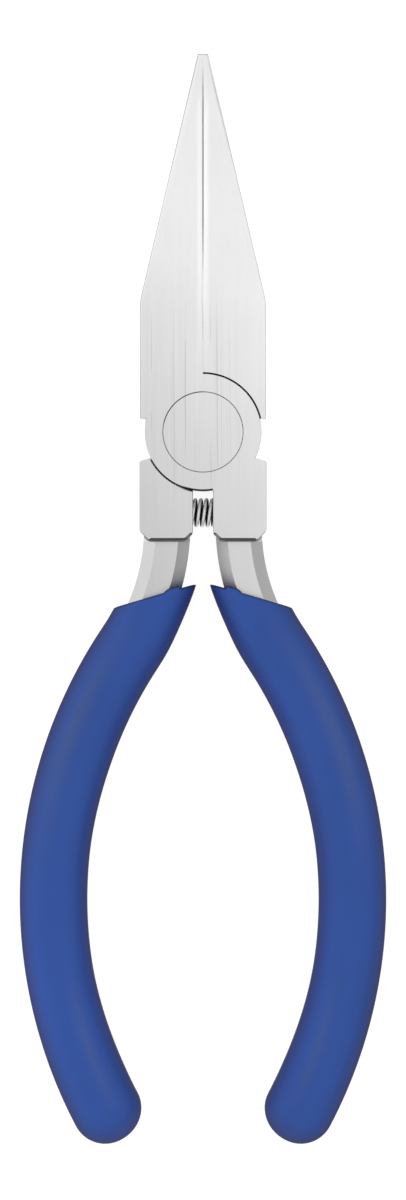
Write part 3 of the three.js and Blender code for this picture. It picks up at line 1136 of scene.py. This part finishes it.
def spring_wire(name):
    """Drawn wire, bright outside, with painted shade between the turns and inside them."""
    f = Finish(name)
    beside_axis = f.math("SUBTRACT", f.y, SPRING_Y)
    outward = f.add(f.times(f.height, f.normal[2]), f.times(beside_axis, f.normal[1]))
    inside = f.fall(outward, *WIRE_INSIDE)
    # painted shade on the sides that face the next turns, less so at the coil's edges
    between = f.times(
        f.rise(f.absolute(f.normal[0]), *WIRE_BETWEEN),
        f.ramp(f.absolute(beside_axis), *WIRE_AT_EDGES),
    )
    # painted shade inside the coil and between its turns
    painted_shade = f.math("MAXIMUM", inside, between)
    drawn = f.noise(per_mm=(3.0, 9.0, 9.0), seed=17.0)
    bright = f.scale(WIRE_TINT, f.add(0.94, f.times(drawn, 0.06)))
    roughness = f.add(0.28, f.times(drawn, 0.10), f.times(painted_shade, 0.3))
    f.bump(drawn, WIRE_BUMP_MM)
    colour = f.mix(painted_shade, bright, WIRE_SHADE_BLACK)
    return f.finish(Base_Color=colour, Metallic=WIRE_METALLIC, Roughness=roughness)


# ---------------------------------------------------------------- blue plastic
BLUE = (0.0170, 0.067, 0.310, 1)
# painted shade colour for side-on surfaces
SIDE_SHADE_BLUE = (0.034, 0.050, 0.22, 1)
# painted sheen colour of the two streaks
SHEEN_BLUE = (0.036, 0.079, 0.272, 1)
BLUE_TONE = 0.805
BLUE_ROUGHNESS = 0.42
BLUE_BUMP_MM = 0.012
# two soft streaks of painted sheen, also a little smoother, as (centre, half width) across the
# sleeve and along it
OUTER_STREAK = ((1.4, 1.7), (17.0, 19.0))
INNER_STREAK = ((-1.2, 1.2), (56.0, 13.0))
INNER_STREAK_SHARE = 0.7
# painted shade as the sleeve turns side on, the outer side more
SIDE_SLOPE = (0.30, 0.92, 1.0, 0.0)
SIDE_SHADE_TONE = (0.0, 2.0, -0.36, -0.44)  # by the place across: the outer side is darker
SIDE_SPECULAR = (0.0, 1.0, 0.3, 0.04)  # by how far it is side on
# painted shade at the rims, where the surface is nearly side on
RIM_SLOPE, RIM_SHADE_TONE = (0.08, 0.42), -0.14
# painted shadow along the mouth's lip, beside the steel
LIP_REACH, LIP_SHADOW_TONE = (0.12, 0.40), -0.30
SHEEN_TONE = 0.03
# painted light on the lower left of the sleeve
LOWER_LEFT_X, LOWER_LEFT_ALONG, LOWER_LEFT_LIGHT = (-2.0, 2.0), (15.0, 45.0), 0.07


def dipped_plastic(name):
    """Satin blue plastic, faintly mottled, with two streaks of painted sheen, painted shade at
    its sides, rims and mouth, and painted light on the lower left.
    """
    f = Finish(name)
    cloud = f.noise(per_mm=(0.12, 0.07, 0.12), seed=7.0, detail=3.0)
    grain = f.noise(per_mm=(2.6, 2.6, 2.6), seed=19.0, detail=3.0)
    pores = f.noise(per_mm=(7.0, 7.0, 7.0), seed=23.0, detail=1.0)
    along, across = f.tag("from_mouth"), f.tag("across")

    side_on = f.ramp(f.flatness, *SIDE_SLOPE, shape="LINEAR")
    outer_streak, inner_streak = (
        f.times(f.bell(across, *width), f.bell(along, *length))
        for width, length in (OUTER_STREAK, INNER_STREAK)
    )
    # painted sheen
    sheen_streaks = f.add(outer_streak, f.times(inner_streak, INNER_STREAK_SHARE))

    tone = f.add(
        BLUE_TONE,
        f.times(cloud, 0.28),
        f.times(grain, 0.12),
        # painted shade at the sides, rims and mouth, painted sheen on the streaks, painted light
        # on the lower left
        f.times(side_on, f.ramp(across, *SIDE_SHADE_TONE)),
        f.times(f.fall(f.flatness, *RIM_SLOPE), RIM_SHADE_TONE),
        f.times(f.fall(along, *LIP_REACH), LIP_SHADOW_TONE),
        f.times(sheen_streaks, SHEEN_TONE),
        f.times(f.fall(f.x, *LOWER_LEFT_X), f.rise(along, *LOWER_LEFT_ALONG), LOWER_LEFT_LIGHT),
    )
    # painted shade: a different blue where side on
    blue = f.mix(side_on, BLUE, SIDE_SHADE_BLUE)
    blue = f.mix(sheen_streaks, blue, SHEEN_BLUE)
    roughness = f.add(
        BLUE_ROUGHNESS, f.times(cloud, 0.10), f.times(grain, 0.10), f.times(sheen_streaks, -0.06)
    )
    f.bump(f.add(f.times(grain, 0.7), f.times(pores, 0.3)), BLUE_BUMP_MM)
    return f.finish(
        Base_Color=f.scale(blue, tone),
        Roughness=roughness,
        Specular_IOR_Level=f.ramp(side_on, *SIDE_SPECULAR),
    )


# ---------------------------------------------------------------- pieces
def dress(obj, material, node):
    obj.data.materials.clear()
    obj.data.materials.append(material)
    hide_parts(node)


jaw_steel = ground_steel("ground_steel")
rivet_steel = ground_steel("rivet_steel")
coil_steel = spring_wire("spring_wire")
blue_plastic = dipped_plastic("blue_sleeve")

front = finish_mesh(forging(), "front_forging", sharp_degrees=40)
back = turned_over(front, "back_forging")
pin = finish_mesh(rivet(), "flush_rivet", sharp_degrees=40)
coil = finish_mesh(spring(), "spring_coil", sharp_degrees=180)
right = finish_mesh(sleeve(), "right_sleeve", sharp_degrees=60)
left = turned_over(right, "left_sleeve")

dress(front, jaw_steel, "front_half")
dress(back, jaw_steel, "back_half")
dress(pin, rivet_steel, "pivot_rivet")
dress(coil, coil_steel, "return_spring")
dress(right, blue_plastic, "right_grip")
dress(left, blue_plastic, "left_grip")

for piece in (front, pin, right):
    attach(piece, "front_body")
for piece in (back, left):
    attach(piece, "back_body")
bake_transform(coil)


# ---------------------------------------------------------------- stage
FLOOR_HALF_M = 2.0
FLOOR_GREY = 0.32
FLOOR_GLOW = 0.88
# (cosine of the angle from the zenith, brightness)
SKY_LEVELS = ((0.0, 0.70), (0.16, 0.70), (0.36, 0.96), (0.60, 1.06), (0.82, 1.02), (1.0, 0.93))
SKY_BIAS_BELOW = (0.10, 0.50)  # the same cosine, where the bias is full and where it ends
SKY_BIAS = (-0.8, 0.4)  # along x and y
VIEW_HEIGHT = 137.5
VIEW_CENTRE_Y = -19.2
LENS = 400.0
SENSOR = 36.0
CLIP_START_M = 0.01


def light_table():
    """A plain pale floor that glows softly, as a product photographer's light table does."""
    half = FLOOR_HALF_M
    corners = [(-half, -half, 0), (half, -half, 0), (half, half, 0), (-half, half, 0)]
    floor = mesh_object("floor", corners, [(0, 1, 2, 3)])
    material = Finish("floor_white").finish(
        Base_Color=(FLOOR_GREY, FLOOR_GREY, FLOOR_GREY, 1),
        Roughness=0.9,
        Specular_IOR_Level=0.0,
        Emission_Color=(1, 1, 1, 1),
        Emission_Strength=FLOOR_GLOW,
    )
    floor.data.materials.append(material)


def studio():
    """An even sky, with a brighter ring part way down and a bias near the horizon."""
    world = bpy.data.worlds.new("studio")
    bpy.context.scene.world = world
    world.use_nodes = True
    sky = Nodes(world.node_tree)
    background = sky.nodes["Background"]
    x, y, z = sky.split(sky.nodes.new("ShaderNodeTexCoord").outputs["Generated"])

    height = sky.nodes.new("ShaderNodeValToRGB")
    ramp = height.color_ramp
    ramp.interpolation = "B_SPLINE"
    while len(ramp.elements) < len(SKY_LEVELS):
        ramp.elements.new(0.5)
    for element, (position, level) in zip(ramp.elements, SKY_LEVELS):
        element.position = position
        element.color = (level, level, level, 1)
    sky.put(height.inputs[0], z)
    sky.put(background.inputs["Color"], height.outputs["Color"])

    # near the horizon, 1 - bias at an axis' negative end and 1 + bias at the other
    low = sky.fall(z, *SKY_BIAS_BELOW)
    leans = [
        sky.math("MULTIPLY_ADD", sky.times(axis, low), bias, 1.0)
        for axis, bias in zip((x, y), SKY_BIAS)
    ]
    sky.put(background.inputs["Strength"], sky.times(*leans))


def camera():
    """Straight above, jaws up in the picture, with a long lens."""
    data = bpy.data.cameras.new("camera")
    data.lens = LENS
    data.sensor_width = SENSOR
    data.sensor_height = SENSOR
    data.sensor_fit = "VERTICAL"
    data.clip_start = CLIP_START_M
    obj = bpy.data.objects.new("camera", data)
    bpy.context.scene.collection.objects.link(obj)
    distance = VIEW_HEIGHT * MM * LENS / SENSOR
    obj.location = (0.0, VIEW_CENTRE_Y * MM, MID_Z * MM + distance)
    bpy.context.scene.camera = obj


bpy.context.scene.view_settings.view_transform = "Standard"
light_table()
studio()
camera()
